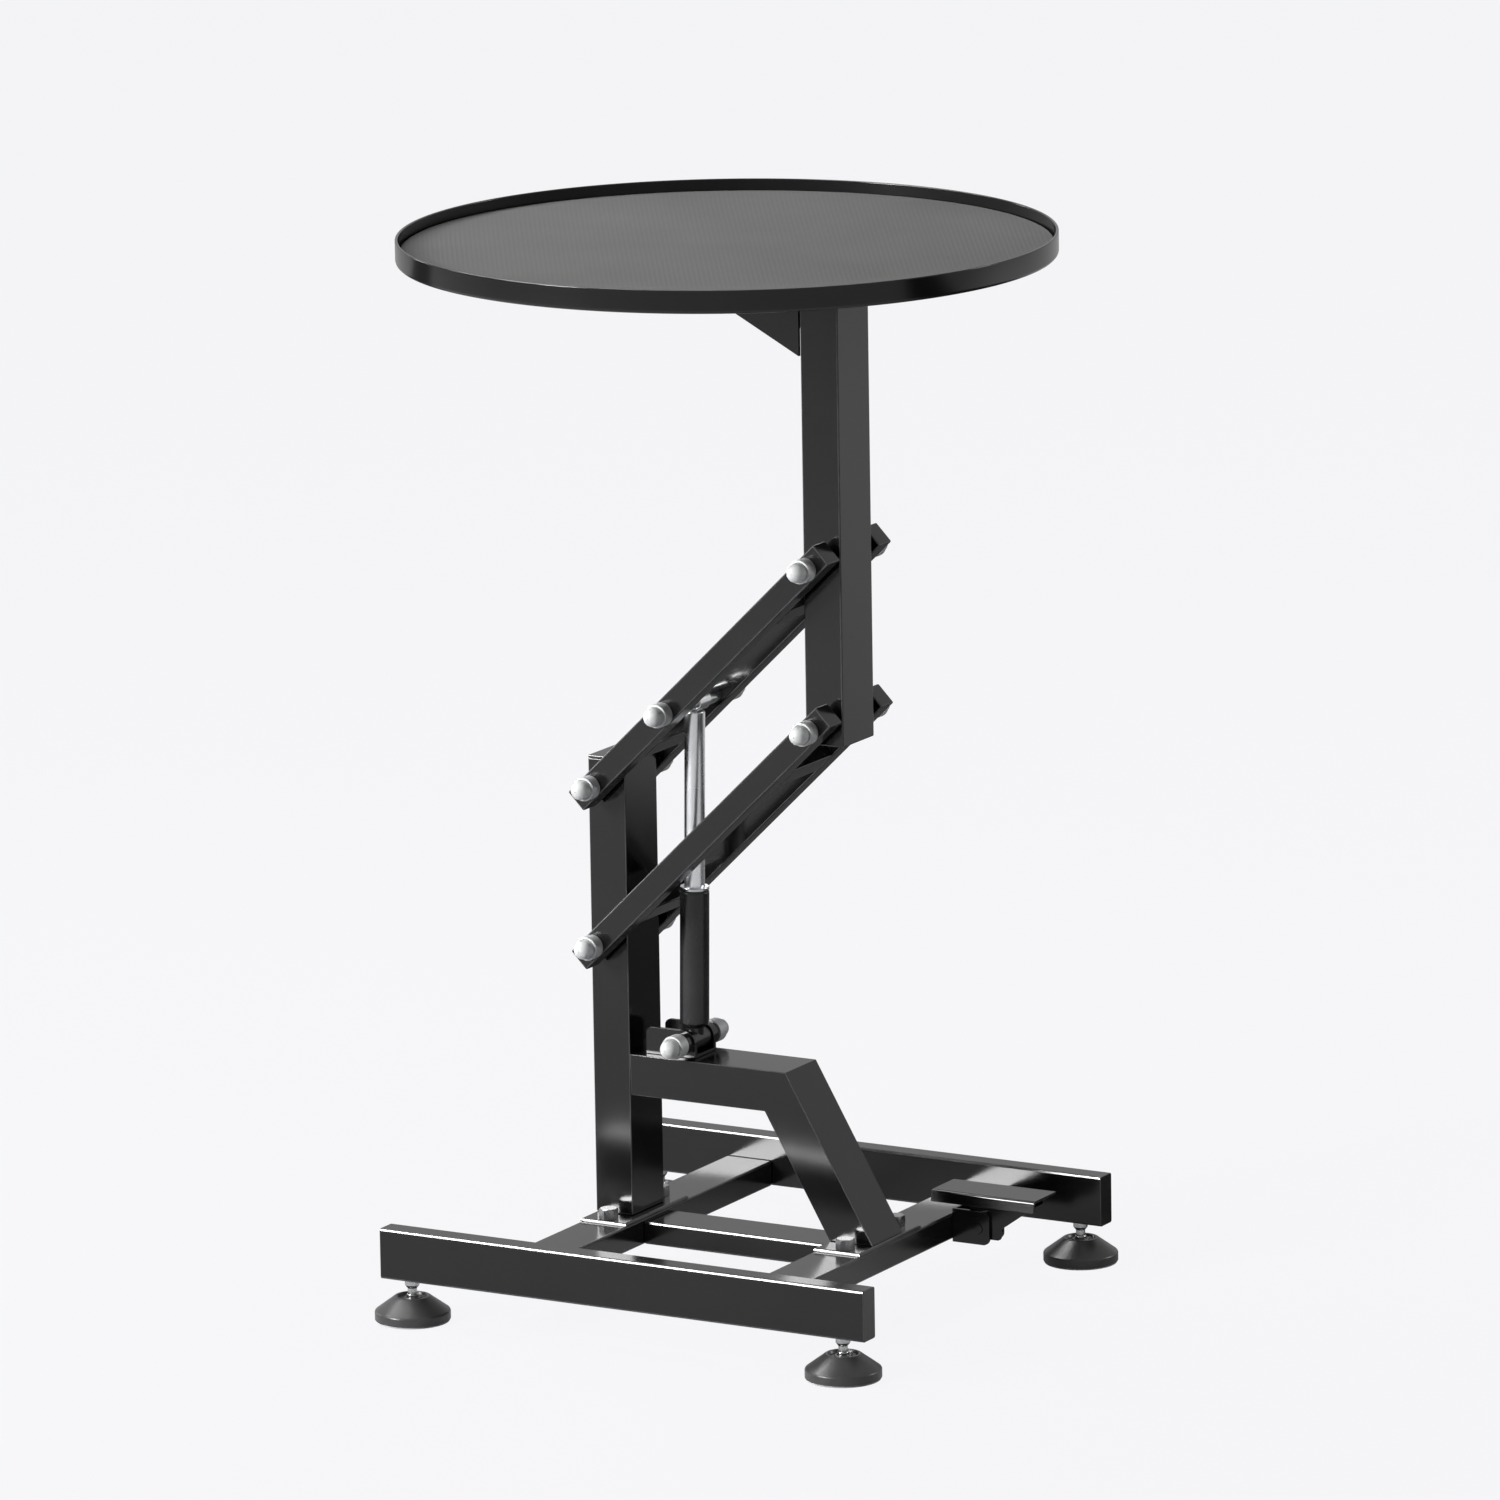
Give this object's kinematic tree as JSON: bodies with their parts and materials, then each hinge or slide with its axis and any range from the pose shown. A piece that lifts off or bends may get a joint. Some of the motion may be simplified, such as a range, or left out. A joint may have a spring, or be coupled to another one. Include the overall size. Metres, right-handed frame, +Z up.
{
  "type": "pneumatic grooming table",
  "caption": "Round-tray grooming table on a parallel lift linkage with a gas spring, a floor frame, levelling feet and a release pedal.",
  "frame": {"origin": "on the floor, under the centre of the round tray", "axes": "+Z up, +X along the two floor rails from the column towards the mast, +Y towards the pedal's side"},
  "size_m": [0.62, 0.62, 1.0202],
  "materials": {
    "coated_steel": "satin black powder coat",
    "cast_black": "satin black",
    "chrome": "polished",
    "zinc": "bright zinc plate",
    "light_cap": "matte light grey",
    "pad_plastic": "satin dark grey plastic",
    "mat_rubber": "matte grey with a fine woven texture"
  },
  "bodies": {
    "base": {"rail_near": "coated_steel", "rail_far": "coated_steel", "cross_rear": "coated_steel", "cross_front": "coated_steel", "spine": "coated_steel", "plate_rear": "coated_steel", "plate_front": "coated_steel", "rear_bolt_near": "zinc", "rear_bolt_far": "zinc", "front_bolt_near": "zinc", "front_bolt_far": "zinc", "column": "coated_steel", "column_cap": "coated_steel", "strut": "coated_steel", "clevis": "coated_steel", "gas_base_bolt": "light_cap", "gas_base_nut": "light_cap", "pedal_bracket": "coated_steel", "pedal_pin": "coated_steel"},
    "upper_arm": {"upper_bar_near": "coated_steel", "upper_bar_far": "coated_steel", "upper_tie_base": "coated_steel", "upper_tie_top": "coated_steel", "upper_base_bolt": "light_cap", "upper_base_nut": "light_cap", "gas_top_bolt": "light_cap", "gas_top_nut": "light_cap", "upper_top_bolt": "light_cap", "upper_top_nut": "light_cap", "gas_spacer_near": "zinc", "gas_spacer_far": "zinc"},
    "lower_arm": {"lower_bar_near": "coated_steel", "lower_bar_far": "coated_steel", "lower_tie_base": "coated_steel", "lower_tie_top": "coated_steel", "lower_base_bolt": "light_cap", "lower_base_nut": "light_cap", "lower_top_bolt": "light_cap", "lower_top_nut": "light_cap"},
    "mast": {"mast": "coated_steel", "gusset_near": "coated_steel", "gusset_far": "coated_steel", "tray": "coated_steel", "mat": "mat_rubber"},
    "gas_cylinder": {"gas_cylinder": "cast_black"},
    "gas_rod": {"gas_rod": "chrome", "gas_eye": "cast_black"},
    "pedal": {"pedal": "coated_steel", "pedal_spring": "zinc"},
    "foot_rear_near": {"foot_rear_near_pad": "pad_plastic", "foot_rear_near_stud": "zinc"},
    "foot_rear_far": {"foot_rear_far_pad": "pad_plastic", "foot_rear_far_stud": "zinc"},
    "foot_front_near": {"foot_front_near_pad": "pad_plastic", "foot_front_near_stud": "zinc"},
    "foot_front_far": {"foot_front_far_pad": "pad_plastic", "foot_front_far_stud": "zinc"}
  },
  "joints": [
    {"name": "lift", "type": "hinge", "parent": "base", "child": "upper_arm", "pos_m": [-0.1235, 0, 0.4908], "axis": [0, 1, 0], "range_deg": [0, 44]},
    {"name": "mast_level", "type": "hinge", "parent": "upper_arm", "child": "mast", "pos_m": [0.11368, 0, 0.72024], "axis": [0, 1, 0], "range_deg": [-44, 0]},
    {"name": "lower_arm_swing", "type": "hinge", "parent": "base", "child": "lower_arm", "pos_m": [-0.1235, 0, 0.3363], "axis": [0, 1, 0], "range_deg": [0, 44]},
    {"name": "gas_tilt", "type": "hinge", "parent": "base", "child": "gas_cylinder", "pos_m": [-0.0495, 0, 0.2406], "axis": [0, 1, 0], "range_deg": [0, 7.6]},
    {"name": "gas_stroke", "type": "slide", "parent": "gas_cylinder", "child": "gas_rod", "axis": [0.0198, 0, 0.9998], "range_m": [-0.0753, 0]},
    {"name": "pedal_press", "type": "hinge", "parent": "base", "child": "pedal", "pos_m": [0.188, 0.1367, 0.053], "axis": [0, 1, 0], "range_deg": [0, 12], "stiffness_Nm_per_rad": 1, "springref_deg": -20.05},
    {"name": "foot_rear_near_screw", "type": "slide", "parent": "base", "child": "foot_rear_near", "axis": [0, 0, -1], "range_m": [0, 0.012]},
    {"name": "foot_rear_far_screw", "type": "slide", "parent": "base", "child": "foot_rear_far", "axis": [0, 0, -1], "range_m": [0, 0.012]},
    {"name": "foot_front_near_screw", "type": "slide", "parent": "base", "child": "foot_front_near", "axis": [0, 0, -1], "range_m": [0, 0.012]},
    {"name": "foot_front_far_screw", "type": "slide", "parent": "base", "child": "foot_front_far", "axis": [0, 0, -1], "range_m": [0, 0.012]}
  ],
  "couplings": [
    {"joint": "mast_level", "follows": "lift", "ratio": -1},
    {"joint": "lower_arm_swing", "follows": "lift", "ratio": 1},
    {"joint": "gas_tilt", "follows": "lift", "ratio": 0.17107},
    {"joint": "gas_stroke", "follows": "lift", "m_per_rad": -0.09798}
  ]
}
